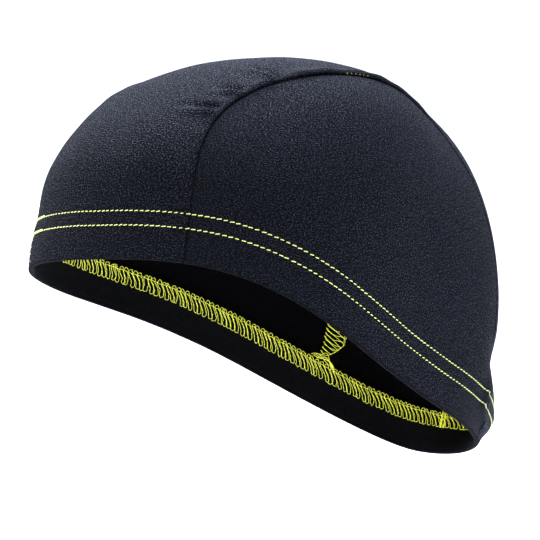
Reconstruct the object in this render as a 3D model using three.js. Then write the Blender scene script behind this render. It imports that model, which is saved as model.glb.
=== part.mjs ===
// Helmet liner cap: a skull cap of thin stretch jersey, sewn from three panels, with a turned
// and stitched hem, in the form that it has on a head. Millimetres, +Z up, the brow faces -Y
// and the wearer's left is +X. The origin is the highest point of the crown's inner face,
// where the head carries the cap.
import * as THREE from "three";

// Driving dimensions
const hemLength = 200;            // brow to nape across the hem, outside
const hemWidth = 157;             // across the hem at its widest, outside
const crownHeight = 118;          // hem plane to crown, outside
const hemPitchDegrees = 26.8;     // how far the hem tips up towards the brow
const crownSetback = 5;           // how far the crown lies behind the middle of the hem
const plyThickness = 1.0;         // the jersey of the panels
const facingThickness = 1.0;      // the jersey turned up inside
const facingHeight = 18.5;        // how far the hem is turned up
const allowanceWidth = 8.8;       // the overlocked seam edges, opened out under the seam
const allowanceLean = 5.8;        // how much of that width lies under the side panel
const allowanceRise = 0.7;        // how far the rest rises into the ridge, as a share of it
const allowanceThickness = 1.4;
const allowanceEndClearance = 1;  // hem facing to the end of the strip
const seamGap = 0.36;             // panel edge to panel edge
const layerGap = 0.5;             // face to face inside
const ridgeHeight = 1.7;          // how far the seam edges push the center panel out
const ridgeWidth = 11;            // seam line to where the ridge has died away
const ridgeCrest = 1.3;           // seam line to the top of the ridge
const seamDip = 0.5;              // how far the seam draws the side panel's edge in
const hemPullDepth = 3;           // how far the stitches draw the cloth in, just over the facing
const hemPullReach = 14;          // how far up and down that waist runs
const hemPullRound = 2.5;         // half the height over which its crease is rounded
const hemPullFade = 1.5;          // how fast it dies away
const puckerHeight = 0.9;         // small folds beside the seam over the brow
const puckerLength = 15;
const puckerWidth = 5;

// The hem seen from above is a rounded triangle: a superellipse that narrows towards the nape
const hemSquareness = 2.25;
const hemTaper = 0.27;

// How the hem wanders as cloth does, every 30 degrees from the brow over the wearer's left:
// reach as a share of the hem's width, rise of the crown's height, waist of the hem's pull
const hemStations = [
  { reach: 0.054, rise: -0.047, waist: 0.1 },
  { reach: 0.008, rise: 0.043, waist: 0.1 },
  { reach: 0.021, rise: 0.021, waist: 0.1 },
  { reach: -0.094, rise: -0.027, waist: 0.04 },
  { reach: 0.038, rise: -0.01, waist: -0.37 },
  { reach: 0.01, rise: 0.006, waist: -0.05 },
  { reach: -0.05, rise: -0.046, waist: -0.48 },
  { reach: 0.055, rise: -0.015, waist: 0.4 },
  { reach: -0.013, rise: 0.027, waist: 0.3 },
  { reach: -0.094, rise: 0.057, waist: 0.2 },
  { reach: 0.027, rise: -0.017, waist: 0.4 },
  { reach: 0.023, rise: -0.051, waist: 0.4 },
];

// Where the limp cloth blouses out at the nape, and where the seam beside it draws it in: push
// as a share of half the hem's width, height and spread of the crown's height, width in degrees
const hemLobes = [
  { around: 160.4, height: 0.113, push: 0.097, width: 17, spread: 0.085 },
  { around: 138.7, height: 0.275, push: -0.04, width: 9.2, spread: 0.058 },
];

// How far the walls stand out over a plain dome, at even steps from the hem to the crown,
// as shares of the hem's own reach in each of eight directions from the brow
const bulgeDirections = [
  { facing: "brow", shares: [1, 1.176, 1.225, 1.275, 1.272, 1.195] },
  { facing: "left temple", shares: [1, 1.067, 1.123, 1.193, 1.238, 1.195] },
  { facing: "left ear", shares: [1, 0.973, 1.034, 1.105, 1.17, 1.19] },
  { facing: "left nape", shares: [1, 0.976, 0.989, 1.004, 1.073, 1.18] },
  { facing: "nape", shares: [1, 1.007, 0.961, 0.989, 1.057, 1.17] },
  { facing: "right nape", shares: [1, 0.984, 0.997, 1.035, 1.095, 1.18] },
  { facing: "right ear", shares: [1, 1.01, 1.086, 1.132, 1.166, 1.19] },
  { facing: "right temple", shares: [1, 1.089, 1.202, 1.233, 1.238, 1.195] },
];

// The panel seams, as seen from above on a disc whose rim is the hem: the directions in which
// they leave the hem, and how far out they lie at even steps from brow to nape
const seamBrowDegrees = 25;
const seamNapeDegrees = 132.5;
const seamSpread = [0.234, 0.242, 0.26, 0.38, 0.53];

// The ridge along a seam: across it as shares of ridgeWidth, and along it from brow to nape
const ridgeAcross = [
  { offset: 0, rise: 0.3 },
  { offset: 0.12, rise: 1 },
  { offset: 0.36, rise: 0.7 },
  { offset: 0.78, rise: 0.12 },
  { offset: 1, rise: 0 },
];
const ridgeAlong = [
  { along: 0, rise: 0.1 },
  { along: 0.16, rise: 0.3 },
  { along: 0.3, rise: 0.9 },
  { along: 0.42, rise: 1 },
  { along: 0.5, rise: 0.75 },
  { along: 0.6, rise: 0.2 },
  { along: 0.8, rise: 0.12 },
  { along: 1, rise: 0.1 },
];

// Small folds that run from the seam towards the brow, by their place along the seam
const puckers = [
  { along: 0.178, rise: 0.8, length: 0.9 },
  { along: 0.222, rise: 1, length: 1 },
  { along: 0.282, rise: 0.9, length: 0.8 },
];

// How finely the cloth is divided
const panelRows = 40;             // center panel, brow to nape
const panelMiddleColumns = 15;    // center panel, between the two ridges
const sideColumns = 32;           // side panel, brow to nape
const sideRows = 14;              // side panel, hem to crown
const facingColumns = 108;
const facingRows = 4;
const rowCrowding = 0.7;          // center rows drawn towards the hem, where the cloth bends most
const sideCrowding = 1.5;         // side rows drawn towards the hem in the same way
const searchSteps = 600;          // places tried for the strips' ends and the highest point
const fineStep = 0.002;           // step on the disc for directions in the cloth
const sideCorners = { brow: 0.17, nape: 0.8 };   // where the side panel's sides meet its top

const left = 1;
const right = -1;
const fullTurn = 2 * Math.PI;
const quarterTurn = Math.PI / 2;

// Cloth colours
const jersey = { color: "#23262f", roughness: 0.9, metalness: 0 };
const innerJersey = { color: "#0d0e12", roughness: 0.95, metalness: 0 };
const overlock = { color: "#15161b", roughness: 0.9, metalness: 0 };

// A smooth curve through table rows at the places given, by cubic steps
function tableValue(places, values, place) {
  const last = places.length - 1;
  const slope = (k) => {
    const before = Math.max(k - 1, 0);
    const after = Math.min(k + 1, last);
    return (values[after] - values[before]) / (places[after] - places[before]);
  };
  let i = 0;
  while (i < last - 1 && place > places[i + 1]) {
    i += 1;
  }
  const step = places[i + 1] - places[i];
  const f = (place - places[i]) / step;
  return (
    (2 * f ** 3 - 3 * f ** 2 + 1) * values[i] +
    (f ** 3 - 2 * f ** 2 + f) * step * slope(i) +
    (3 * f ** 2 - 2 * f ** 3) * values[i + 1] +
    (f ** 3 - f ** 2) * step * slope(i + 1)
  );
}

// A smooth closed curve drawn by values at even steps round a full turn
function roundValue(values, angle) {
  const count = values.length;
  const place = THREE.MathUtils.euclideanModulo(angle / fullTurn, 1) * count;
  const i = Math.floor(place);
  const f = place - i;
  const weights = [
    (1 - f) ** 3 / 6,
    (3 * f ** 3 - 6 * f ** 2 + 4) / 6,
    (3 * f + 3 * f ** 2 - 3 * f ** 3 + 1) / 6,
    f ** 3 / 6,
  ];
  return weights.reduce((sum, weight, k) => sum + weight * values[(i + k - 1 + count) % count], 0);
}

function evenSteps(count) {
  return Array.from({ length: count + 1 }, (_, i) => i / count);
}

const bulgeLevels = evenSteps(bulgeDirections[0].shares.length - 1);
const hemReach = hemStations.map((station) => station.reach);
const hemRise = hemStations.map((station) => station.rise * crownHeight);
const hemWaist = hemStations.map((station) => station.waist * hemPullDepth);

function lobePush(height, around) {
  return hemLobes.reduce((sum, lobe) => {
    const turned = THREE.MathUtils.radToDeg(around) - lobe.around;
    const beside = (THREE.MathUtils.euclideanModulo(turned + 180, 360) - 180) / lobe.width;
    const above = (height / crownHeight - lobe.height) / lobe.spread;
    return sum + (hemWidth / 2) * lobe.push * Math.exp(-(beside ** 2) - above ** 2);
  }, 0);
}

// The outer face of the cloth. Level runs from 0 at the hem to 1 at the crown, and around is
// the direction from the brow over the wearer's left
function clothPoint(level, around) {
  const power = 2 / hemSquareness;
  const forward = Math.sign(Math.cos(around)) * Math.abs(Math.cos(around)) ** power;
  const sideways = Math.sign(Math.sin(around)) * Math.abs(Math.sin(around)) ** power;
  const wander = 1 + roundValue(hemReach, around);
  const bulge = roundValue(
    bulgeDirections.map((direction) => tableValue(bulgeLevels, direction.shares, level)),
    around,
  );
  const outward = Math.cos(level * quarterTurn);
  const upward = Math.sin(level * quarterTurn);
  const height = crownHeight * upward;
  const creaseHeight = facingHeight + hemPullRound / 2;
  const fromCrease = Math.hypot(height - creaseHeight, hemPullRound) - hemPullRound;
  const waistShare = Math.max(0, 1 - fromCrease / hemPullReach) ** hemPullFade;
  const waist = (roundValue(hemWaist, around) / (hemWidth / 2)) * waistShare;
  const reach = wander * (bulge - waist) * outward;
  const x = (hemWidth / 2) * sideways * (1 + hemTaper * forward) * reach;
  const y = crownSetback * (1 - outward) - (hemLength / 2) * forward * reach;
  const z = height + roundValue(hemRise, around) * outward ** 2;
  const push = new THREE.Vector3(x, y, 0).setLength(lobePush(height, around));
  return new THREE.Vector3(x, y, z).add(push);
}

// The same face by its place on the disc seen from above: the hem is the rim, the crown is
// the middle, x towards the wearer's left and y towards the nape
function discPoint(place) {
  return clothPoint(1 - place.length(), Math.atan2(place.x, -place.y));
}

function discNormal(place) {
  const across = discPoint(place.clone().setX(place.x + fineStep));
  across.sub(discPoint(place.clone().setX(place.x - fineStep)));
  const along = discPoint(place.clone().setY(place.y + fineStep));
  along.sub(discPoint(place.clone().setY(place.y - fineStep)));
  return across.cross(along).normalize();
}

const browEnd = THREE.MathUtils.degToRad(seamBrowDegrees);
const napeEnd = THREE.MathUtils.degToRad(seamNapeDegrees);
const spreadValues = [Math.sin(browEnd), ...seamSpread, Math.sin(napeEnd)];
const spreadPlaces = evenSteps(spreadValues.length - 1);

// A point of the wearer's left seam on the disc, from 0 at the brow to 1 at the nape
function seamPlace(along, side) {
  const out = tableValue(spreadPlaces, spreadValues, along);
  const back = THREE.MathUtils.lerp(-Math.cos(browEnd), -Math.cos(napeEnd), along);
  return new THREE.Vector2(side * out, back);
}

// The direction in the cloth that leaves a seam at right angles, towards the side panel
function awayFromSeam(along, side) {
  const ahead = discPoint(seamPlace(along + fineStep, side));
  const run = ahead.sub(discPoint(seamPlace(along - fineStep, side)));
  const away = run.cross(discNormal(seamPlace(along, side))).normalize();
  return away.multiplyScalar(Math.sign(away.x) * side);
}

// A closed wall between two grids of points of the same size, outer face first
function wallGeometry(outer, inner, ring = false) {
  const rows = outer.length;
  const columns = outer[0].length;
  const points = [...outer.flat(), ...inner.flat()];
  const innerStart = rows * columns;
  const at = (i, j, isInner) => (isInner ? innerStart : 0) + i * columns + (j % columns);
  const faces = [];
  const quad = (a, b, c, d) => faces.push([a, b, c], [a, c, d]);
  const lastColumn = ring ? columns : columns - 1;
  for (let i = 0; i < rows - 1; i += 1) {
    for (let j = 0; j < lastColumn; j += 1) {
      quad(at(i, j, false), at(i, j + 1, false), at(i + 1, j + 1, false), at(i + 1, j, false));
      quad(at(i, j, true), at(i + 1, j, true), at(i + 1, j + 1, true), at(i, j + 1, true));
    }
  }
  for (let j = 0; j < lastColumn; j += 1) {
    const top = rows - 1;
    quad(at(0, j, true), at(0, j + 1, true), at(0, j + 1, false), at(0, j, false));
    quad(at(top, j, false), at(top, j + 1, false), at(top, j + 1, true), at(top, j, true));
  }
  if (!ring) {
    const edge = columns - 1;
    for (let i = 0; i < rows - 1; i += 1) {
      quad(at(i, 0, false), at(i + 1, 0, false), at(i + 1, 0, true), at(i, 0, true));
      quad(at(i, edge, true), at(i + 1, edge, true), at(i + 1, edge, false), at(i, edge, false));
    }
  }
  const volume = faces.reduce((sum, [a, b, c]) => {
    return sum + points[a].dot(points[b].clone().cross(points[c]));
  }, 0);
  const outwards = volume > 0 ? faces : faces.map(([a, b, c]) => [a, c, b]);
  const geometry = new THREE.BufferGeometry().setFromPoints(points);
  geometry.setIndex(outwards.flat());
  geometry.computeVertexNormals();
  return geometry;
}

function clothMesh(name, geometry, finish) {
  const mesh = new THREE.Mesh(geometry, new THREE.MeshStandardMaterial({ name, ...finish }));
  mesh.name = name;
  return mesh;
}

// Points a depth under the outer face, from cloth samples that hold a point and its normal
function sunk(samples, depth) {
  return samples.map((row) => {
    return row.map(({ point, normal }) => point.clone().addScaledVector(normal, -depth));
  });
}

function wallOf(samples, top, thickness, ring = false) {
  return wallGeometry(sunk(samples, top), sunk(samples, top + thickness), ring);
}

// The level that an arc of cloth up from the hem reaches
function levelAtArc(around, arc) {
  let level = 0;
  let rest = arc;
  let before = clothPoint(level, around);
  while (rest > 0) {
    const after = clothPoint(level + fineStep, around);
    const step = after.distanceTo(before);
    level += fineStep * Math.min(1, rest / step);
    rest -= step;
    before = after;
  }
  return level;
}

// Center panel: a grid of places from brow to nape and from the right seam to the left one
function centerPlace(along, across) {
  const reachAt = (end) => Math.sqrt(1 - (across * Math.sin(end)) ** 2);
  const back = THREE.MathUtils.lerp(-reachAt(browEnd), reachAt(napeEnd), along);
  return new THREE.Vector2(across * seamPlace(along, left).x, back);
}

function ridgeRise(along, distance) {
  const strength = tableValue(
    ridgeAlong.map((row) => row.along),
    ridgeAlong.map((row) => row.rise),
    along,
  );
  const across = tableValue(
    ridgeAcross.map((row) => row.offset * ridgeWidth),
    ridgeAcross.map((row) => row.rise),
    Math.min(distance, ridgeWidth),
  );
  return ridgeHeight * strength * across;
}

function seamLength(side) {
  const points = evenSteps(panelRows).map((along) => discPoint(seamPlace(along, side)));
  return points.slice(1).reduce((sum, point, i) => sum + point.distanceTo(points[i]), 0);
}

const seamRun = { [left]: seamLength(left), [right]: seamLength(right) };

// A pucker is a crest between two shallow troughs that die away from the seam
function puckerRise(along, distance, side) {
  return puckers.reduce((sum, pucker) => {
    const from = ((along - pucker.along) * seamRun[side]) / puckerWidth;
    const fade = Math.max(0, 1 - distance / (pucker.length * puckerLength));
    const crest = Math.exp(-4 * from ** 2);
    const trough = Math.exp(-(from ** 2)) / 2;
    return sum + puckerHeight * pucker.rise * fade * (crest - trough);
  }, 0);
}

// How much cloth a unit of the panel's width is, beside a seam
function clothSpan(along, side) {
  const edge = discPoint(centerPlace(along, side));
  const inside = discPoint(centerPlace(along, side * (1 - fineStep)));
  return edge.distanceTo(inside) / fineStep;
}

function centerSample(along, side, distance) {
  const place = centerPlace(along, side * (1 - distance / clothSpan(along, side)));
  const normal = discNormal(place);
  const point = discPoint(place);
  if (distance === 0) {
    point.addScaledVector(awayFromSeam(along, side), -seamGap / 2);
  }
  const rise = ridgeRise(along, distance) + puckerRise(along, distance, side);
  point.addScaledVector(normal, rise);
  return { point, normal };
}

// Rows from brow to nape, drawn towards the hem, with rows of their own for the puckers
function centerRows() {
  const fold = puckerWidth / 2 / seamRun[left];
  const folds = puckers.flatMap(({ along }) => [along - fold, along, along + fold]);
  const drawn = evenSteps(panelRows).map((f) => {
    return f - (rowCrowding / fullTurn) * Math.sin(fullTurn * f);
  });
  const apart = drawn.filter((along) => folds.every((other) => Math.abs(along - other) > fold));
  return [...apart, ...folds].sort((a, b) => a - b);
}

const rows = centerRows();

// Columns beside a seam, as distances from it, out to the ridge's foot
const ridgeFoot = ridgeWidth * ridgeAcross[ridgeAcross.length - 2].offset;
const seamColumns = [0, ridgeCrest, ridgeFoot / 2, ridgeFoot];

function centerSamples() {
  return rows.map((along) => {
    const beside = (side) => seamColumns.map((distance) => centerSample(along, side, distance));
    const spans = { [left]: clothSpan(along, left), [right]: clothSpan(along, right) };
    const middle = evenSteps(panelMiddleColumns).slice(1, -1).map((f) => {
      const from = ridgeFoot / spans[right] - 1;
      const to = 1 - ridgeFoot / spans[left];
      const across = THREE.MathUtils.lerp(from, to, f);
      const side = across < 0 ? right : left;
      return centerSample(along, side, (1 - Math.abs(across)) * spans[side]);
    });
    return [...beside(right), ...middle, ...beside(left).reverse()];
  });
}

const centerPanel = clothMesh("center_panel", wallOf(centerSamples(), 0, plyThickness), jersey);

// Side panel: a patch between the hem, the two upright stretches of its seam and the top one
const browAlong = (up) => sideCorners.brow * up;
const napeAlong = (up) => 1 - (1 - sideCorners.nape) * up;
const topAlong = (across) => THREE.MathUtils.lerp(sideCorners.brow, sideCorners.nape, across);

function sidePlace(across, up, side) {
  const around = THREE.MathUtils.lerp(browEnd, napeEnd, across);
  const hem = new THREE.Vector2(side * Math.sin(around), -Math.cos(around));
  const top = seamPlace(topAlong(across), side);
  const brow = seamPlace(browAlong(up), side);
  const nape = seamPlace(napeAlong(up), side);
  const low = seamPlace(0, side).lerp(seamPlace(1, side), across);
  const high = seamPlace(sideCorners.brow, side).lerp(seamPlace(sideCorners.nape, side), across);
  return hem.lerp(top, up).add(brow.lerp(nape, across)).sub(low.lerp(high, up));
}

function seamAlongAt(across, up) {
  if (across === 0) {
    return browAlong(up);
  }
  return across === 1 ? napeAlong(up) : topAlong(across);
}

// The edges on the seam dip under the ridge from the facing upwards
function seamDipAt(point) {
  return seamDip * THREE.MathUtils.smoothstep(point.z, 1.25 * facingHeight, 2 * facingHeight);
}

function sideSample(across, up, side) {
  const place = sidePlace(across, up, side);
  const normal = discNormal(place);
  const point = discPoint(place);
  if (across === 0 || across === 1 || up === 1) {
    point.addScaledVector(normal, -seamDipAt(point));
    point.addScaledVector(awayFromSeam(seamAlongAt(across, up), side), seamGap / 2);
  }
  return { point, normal };
}

function sidePanel(name, side) {
  const samples = evenSteps(sideRows).map((f) => {
    return evenSteps(sideColumns).map((across) => sideSample(across, f ** sideCrowding, side));
  });
  return clothMesh(name, wallOf(samples, 0, plyThickness), jersey);
}

const leftSidePanel = sidePanel("left_side_panel", left);
const rightSidePanel = sidePanel("right_side_panel", right);

// Hem facing: the turned cloth, a layer inside the panels all the way round
function facingSamples() {
  return evenSteps(facingRows).map((f) => {
    return evenSteps(facingColumns).slice(0, -1).map((g) => {
      const around = fullTurn * g;
      const radius = 1 - levelAtArc(around, facingHeight * f);
      const place = new THREE.Vector2(radius * Math.sin(around), -radius * Math.cos(around));
      return { point: discPoint(place), normal: discNormal(place) };
    });
  });
}

const facingGeometry = wallOf(facingSamples(), plyThickness + layerGap, facingThickness, true);
const hemFacing = clothMesh("hem_facing", facingGeometry, innerJersey);

// Seam allowances: the overlocked edges, opened out under the seam, from just over the hem
// facing at the brow to just over it at the nape
function isOverFacing(along, side) {
  const place = seamPlace(along, side);
  const clear = facingHeight + allowanceEndClearance;
  return 1 - place.length() > levelAtArc(Math.atan2(place.x, -place.y), clear);
}

// Columns of the strip, as distances square to the seam, from under the side panel
const stripColumns = [-allowanceLean, -allowanceLean / 2, 0, ridgeCrest, allowanceWidth - allowanceLean];

function stripSample(along, side, distance) {
  const place = seamPlace(along, side);
  const normal = discNormal(place);
  const point = discPoint(place).addScaledVector(awayFromSeam(along, side), -distance);
  const rise = allowanceRise * ridgeRise(along, distance) + puckerRise(along, distance, side);
  return { point: point.addScaledVector(normal, distance > 0 ? rise : -seamDipAt(point)), normal };
}

function seamAllowance(name, side) {
  const reached = evenSteps(searchSteps).filter((along) => isOverFacing(along, side));
  const brow = reached[0];
  const nape = reached[reached.length - 1];
  const inside = rows.filter((along) => along > brow && along < nape);
  const samples = [brow, ...inside, nape].map((along) => {
    return stripColumns.map((distance) => stripSample(along, side, distance));
  });
  return clothMesh(name, wallOf(samples, plyThickness + layerGap, allowanceThickness), overlock);
}

const leftSeamAllowance = seamAllowance("left_seam_allowance", left);
const rightSeamAllowance = seamAllowance("right_seam_allowance", right);

// The cap as worn: tipped up at the brow, with its inner crown on the origin
const pitch = THREE.MathUtils.degToRad(hemPitchDegrees);

function innerCrown() {
  const onMiddle = evenSteps(searchSteps).map((f) => {
    const place = new THREE.Vector2(0, f - 0.5);
    const point = discPoint(place).addScaledVector(discNormal(place), -plyThickness);
    return point.applyAxisAngle(new THREE.Vector3(1, 0, 0), -pitch);
  });
  return onMiddle.reduce((best, point) => (point.z > best.z ? point : best));
}

const worn = new THREE.Group();
worn.rotation.x = -pitch;
worn.position.copy(innerCrown()).negate();
worn.position.x = 0;
worn.add(centerPanel, leftSidePanel, rightSidePanel, hemFacing, leftSeamAllowance, rightSeamAllowance);

const helmetLinerCap = new THREE.Group();
helmetLinerCap.name = "helmet_liner_cap";
helmetLinerCap.add(worn);

export default helmetLinerCap;
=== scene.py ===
import math

import bpy
import numpy as np
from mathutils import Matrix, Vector


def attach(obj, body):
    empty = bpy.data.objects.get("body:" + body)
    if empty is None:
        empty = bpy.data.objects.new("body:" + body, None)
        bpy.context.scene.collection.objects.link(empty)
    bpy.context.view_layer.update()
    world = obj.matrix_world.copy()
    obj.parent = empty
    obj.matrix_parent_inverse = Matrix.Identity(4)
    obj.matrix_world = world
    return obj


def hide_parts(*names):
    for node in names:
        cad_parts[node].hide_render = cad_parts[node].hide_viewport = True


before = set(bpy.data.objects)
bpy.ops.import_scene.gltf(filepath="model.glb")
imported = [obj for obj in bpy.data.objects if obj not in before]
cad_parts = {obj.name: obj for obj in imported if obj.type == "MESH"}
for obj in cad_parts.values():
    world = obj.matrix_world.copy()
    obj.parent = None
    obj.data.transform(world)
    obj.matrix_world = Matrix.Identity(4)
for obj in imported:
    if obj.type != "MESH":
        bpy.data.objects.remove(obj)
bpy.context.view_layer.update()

FULL_TURN = 2 * math.pi
MILLIMETRE = 0.001
LEFT = 1
RIGHT = -1
SIDES = {LEFT: "left", RIGHT: "right"}

# Sizes of the cap, as in the CAD model
HEM_LENGTH = 200
HEM_WIDTH = 157
CROWN_HEIGHT = 118
HEM_PITCH = math.radians(26.8)
CROWN_SETBACK = 5
PLY_THICKNESS = 1.0
LAYER_GAP = 0.5
FACING_THICKNESS = 1.0
FACING_HEIGHT = 18.5
ALLOWANCE_WIDTH = 8.8
ALLOWANCE_LEAN = 5.8              # how much of that width lies under the side panel
ALLOWANCE_RISE = 0.7
ALLOWANCE_THICKNESS = 1.4
ALLOWANCE_END_CLEARANCE = 1
RIDGE_HEIGHT = 1.7
RIDGE_WIDTH = 11
RIDGE_CREST = 1.3
SEAM_DIP = 0.5
SEAM_DIP_HEIGHTS = (1.25 * FACING_HEIGHT, 2 * FACING_HEIGHT)
HEM_PULL_DEPTH = 3
HEM_PULL_REACH = 14
HEM_PULL_ROUND = 2.5
HEM_PULL_FADE = 1.5

# The hem from above, a rounded triangle, and how it wanders every 30 degrees from the brow
HEM_SQUARENESS = 2.25
HEM_TAPER = 0.27
HEM_REACH = (0.054, 0.008, 0.021, -0.094, 0.038, 0.01, -0.05, 0.055, -0.013, -0.094, 0.027, 0.023)
HEM_RISE = (-0.047, 0.043, 0.021, -0.027, -0.01, 0.006, -0.046, -0.015, 0.027, 0.057, -0.017, -0.051)
HEM_WAIST = (0.1, 0.1, 0.1, 0.04, -0.37, -0.05, -0.48, 0.4, 0.3, 0.2, 0.4, 0.4)

# Where the limp cloth blouses out at the nape, and where the seam beside it draws it in: degrees
# round from the brow, height and push outwards, then width in degrees and spread in height
LOBES = ((160.4, 13.33, 7.61, 17, 10.03), (138.7, 32.45, -3.14, 9.2, 6.84))

# How far the walls stand out, hem to crown, from the brow round by the wearer's left ear
BULGES = np.array((
    (1, 1.176, 1.225, 1.275, 1.272, 1.195),
    (1, 1.067, 1.123, 1.193, 1.238, 1.195),
    (1, 0.973, 1.034, 1.105, 1.17, 1.19),
    (1, 0.976, 0.989, 1.004, 1.073, 1.18),
    (1, 1.007, 0.961, 0.989, 1.057, 1.17),
    (1, 0.984, 0.997, 1.035, 1.095, 1.18),
    (1, 1.01, 1.086, 1.132, 1.166, 1.19),
    (1, 1.089, 1.202, 1.233, 1.238, 1.195),
))

# The panel seams on the disc seen from above, and the ridge that their edges push up
SEAM_BROW = math.radians(25)
SEAM_NAPE = math.radians(132.5)
SEAM_SPREAD = (math.sin(SEAM_BROW), 0.234, 0.242, 0.26, 0.38, 0.53, math.sin(SEAM_NAPE))
RIDGE_ACROSS = ((0, 0.3), (0.12, 1), (0.36, 0.7), (0.78, 0.12), (1, 0))
RIDGE_ALONG = ((0, 0.1), (0.16, 0.3), (0.3, 0.9), (0.42, 1), (0.5, 0.75), (0.6, 0.2), (0.8, 0.12), (1, 0.1))
SIDE_CORNERS = (0.17, 0.8)

# What the cloth shows up close
SEAM_ROLL = 0.9                   # radius of the center panel's edge as it turns under
SEAM_TUCK = 1.2                   # how far the side panel's edge runs under the tallest ridge
# How sharply the seam shows, by its place along
SEAM_PINCH = ((0, 1), (0.48, 1), (0.56, 0.15), (0.85, 0.15), (0.93, 0.5), (1, 0.6))
# Small folds that run over the center panel from the left seam above the brow: place along the
# seam, depth, length, and how far each leans back per millimetre of its length
PUCKERS = ((0.185, 2.4, 21, -0.1), (0.231, 2.4, 15, -0.3), (0.281, 3.0, 21, -0.08))
PUCKER_WIDTH = 3.4
PUCKER_CREST = 0.8                # how high the crest beside a furrow stands, as a share of its depth
PUCKER_START = (1, 5)             # mm from the seam between which a pucker comes up
STITCH_PRESS = 0.35               # depth of the channel under a row of stitches
STITCH_PRESS_WIDTH = 1.1
DRIFT = 0.16                      # height of the cloth's own unevenness
NEEDLE_ROWS = (11.8, 17.2)        # arc from the hem edge up to each row
STITCH_PITCH = 2.42
STITCH_LENGTH = 1.82
STITCH_TILT = 0.16                # how far a stitch's end stands off its row
NEEDLE_THREAD = 0.19              # radii of the threads as they lie, loosely plied
LOOPER_THREAD = 0.115
BUNCHED_THREAD = 0.12

FINE_STEP = 0.002                 # step on the disc for directions in the cloth


# Curves through tables

def table_value(places, values, at):
    """A smooth curve through table rows, by cubic steps."""
    places = np.asarray(places, float)
    values = np.asarray(values, float)
    last = len(places) - 1
    before = np.maximum(np.arange(last + 1) - 1, 0)
    after = np.minimum(np.arange(last + 1) + 1, last)
    slopes = (values[after] - values[before]) / (places[after] - places[before])
    i = np.clip(np.searchsorted(places, at, side="right") - 1, 0, last - 1)
    step = places[i + 1] - places[i]
    f = (at - places[i]) / step
    return (
        (2 * f**3 - 3 * f**2 + 1) * values[i]
        + (f**3 - 2 * f**2 + f) * step * slopes[i]
        + (3 * f**2 - 2 * f**3) * values[i + 1]
        + (f**3 - f**2) * step * slopes[i + 1]
    )


def round_value(rows, angle):
    """A smooth closed curve drawn by values, or by arrays of values, at even steps round a turn."""
    count = len(rows)
    place = np.mod(angle / FULL_TURN, 1) * count
    i = np.floor(place).astype(int)
    f = place - i
    rows = np.asarray(rows, float)
    if rows.ndim == 1:
        rows = rows.reshape(count, *[1] * np.ndim(angle))
        rows = np.broadcast_to(rows, (count, *np.shape(angle)))
    weights = (
        (1 - f) ** 3 / 6, (3 * f**3 - 6 * f**2 + 4) / 6,
        (3 * f + 3 * f**2 - 3 * f**3 + 1) / 6, f**3 / 6,
    )
    total = 0
    for k, weight in enumerate(weights):
        row = ((i + k - 1) % count)[None]
        total = total + weight * np.take_along_axis(rows, row, 0)[0]
    return total


def smooth_step(x, low, high):
    f = np.clip((x - low) / (high - low), 0, 1)
    return f * f * (3 - 2 * f)


def unit(vectors):
    return vectors / np.linalg.norm(vectors, axis=-1, keepdims=True)


# The cap's surface

def lobe_push(height, around):
    total = 0
    for direction, middle, push, width, spread in LOBES:
        beside = (np.mod(np.degrees(around) - direction + 180, 360) - 180) / width
        total = total + push * np.exp(-(beside**2) - ((height - middle) / spread) ** 2)
    return total


def cloth_point(level, around):
    """The outer face, from level 0 at the hem to 1 at the crown, in a direction from the brow."""
    level, around = np.broadcast_arrays(np.asarray(level, float), np.asarray(around, float))
    power = 2 / HEM_SQUARENESS
    forward = np.sign(np.cos(around)) * np.abs(np.cos(around)) ** power
    sideways = np.sign(np.sin(around)) * np.abs(np.sin(around)) ** power
    steps = np.linspace(0, 1, BULGES.shape[1])
    bulge = round_value([table_value(steps, shares, level) for shares in BULGES], around)
    outward = np.cos(level * math.pi / 2)
    height = CROWN_HEIGHT * np.sin(level * math.pi / 2)
    crease = FACING_HEIGHT + HEM_PULL_ROUND / 2
    from_crease = np.hypot(height - crease, HEM_PULL_ROUND) - HEM_PULL_ROUND
    waist_share = np.maximum(0, 1 - from_crease / HEM_PULL_REACH) ** HEM_PULL_FADE
    waist = round_value(HEM_WAIST, around) * HEM_PULL_DEPTH / (HEM_WIDTH / 2) * waist_share
    reach = (1 + round_value(HEM_REACH, around)) * (bulge - waist) * outward
    x = HEM_WIDTH / 2 * sideways * (1 + HEM_TAPER * forward) * reach
    y = CROWN_SETBACK * (1 - outward) - HEM_LENGTH / 2 * forward * reach
    z = height + round_value(HEM_RISE, around) * CROWN_HEIGHT * outward**2
    push = 1 + lobe_push(height, around) / np.maximum(np.hypot(x, y), FINE_STEP)
    return np.stack((x * push, y * push, z), axis=-1)


def disc_point(place):
    """The same face by its place on the disc seen from above, whose rim is the hem."""
    x, y = place[..., 0], place[..., 1]
    return cloth_point(1 - np.hypot(x, y), np.arctan2(x, -y))


def disc_normal(place):
    step_x = np.array((FINE_STEP, 0))
    step_y = np.array((0, FINE_STEP))
    across = disc_point(place + step_x) - disc_point(place - step_x)
    along = disc_point(place + step_y) - disc_point(place - step_y)
    return unit(np.cross(across, along))


def seam_place(along, side):
    """A point of a panel seam on the disc, from 0 at the brow to 1 at the nape."""
    along = np.asarray(along, float)
    out = table_value(np.linspace(0, 1, len(SEAM_SPREAD)), SEAM_SPREAD, along)
    back = -math.cos(SEAM_BROW) + (math.cos(SEAM_BROW) - math.cos(SEAM_NAPE)) * along
    return np.stack((side * out, back), axis=-1)


def away_from_seam(along, side):
    """The direction in the cloth that leaves a seam at right angles, towards the side panel."""
    run = disc_point(seam_place(along + FINE_STEP, side)) - disc_point(seam_place(along - FINE_STEP, side))
    away = unit(np.cross(run, disc_normal(seam_place(along, side))))
    return away * np.sign(away[..., :1]) * side


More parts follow.
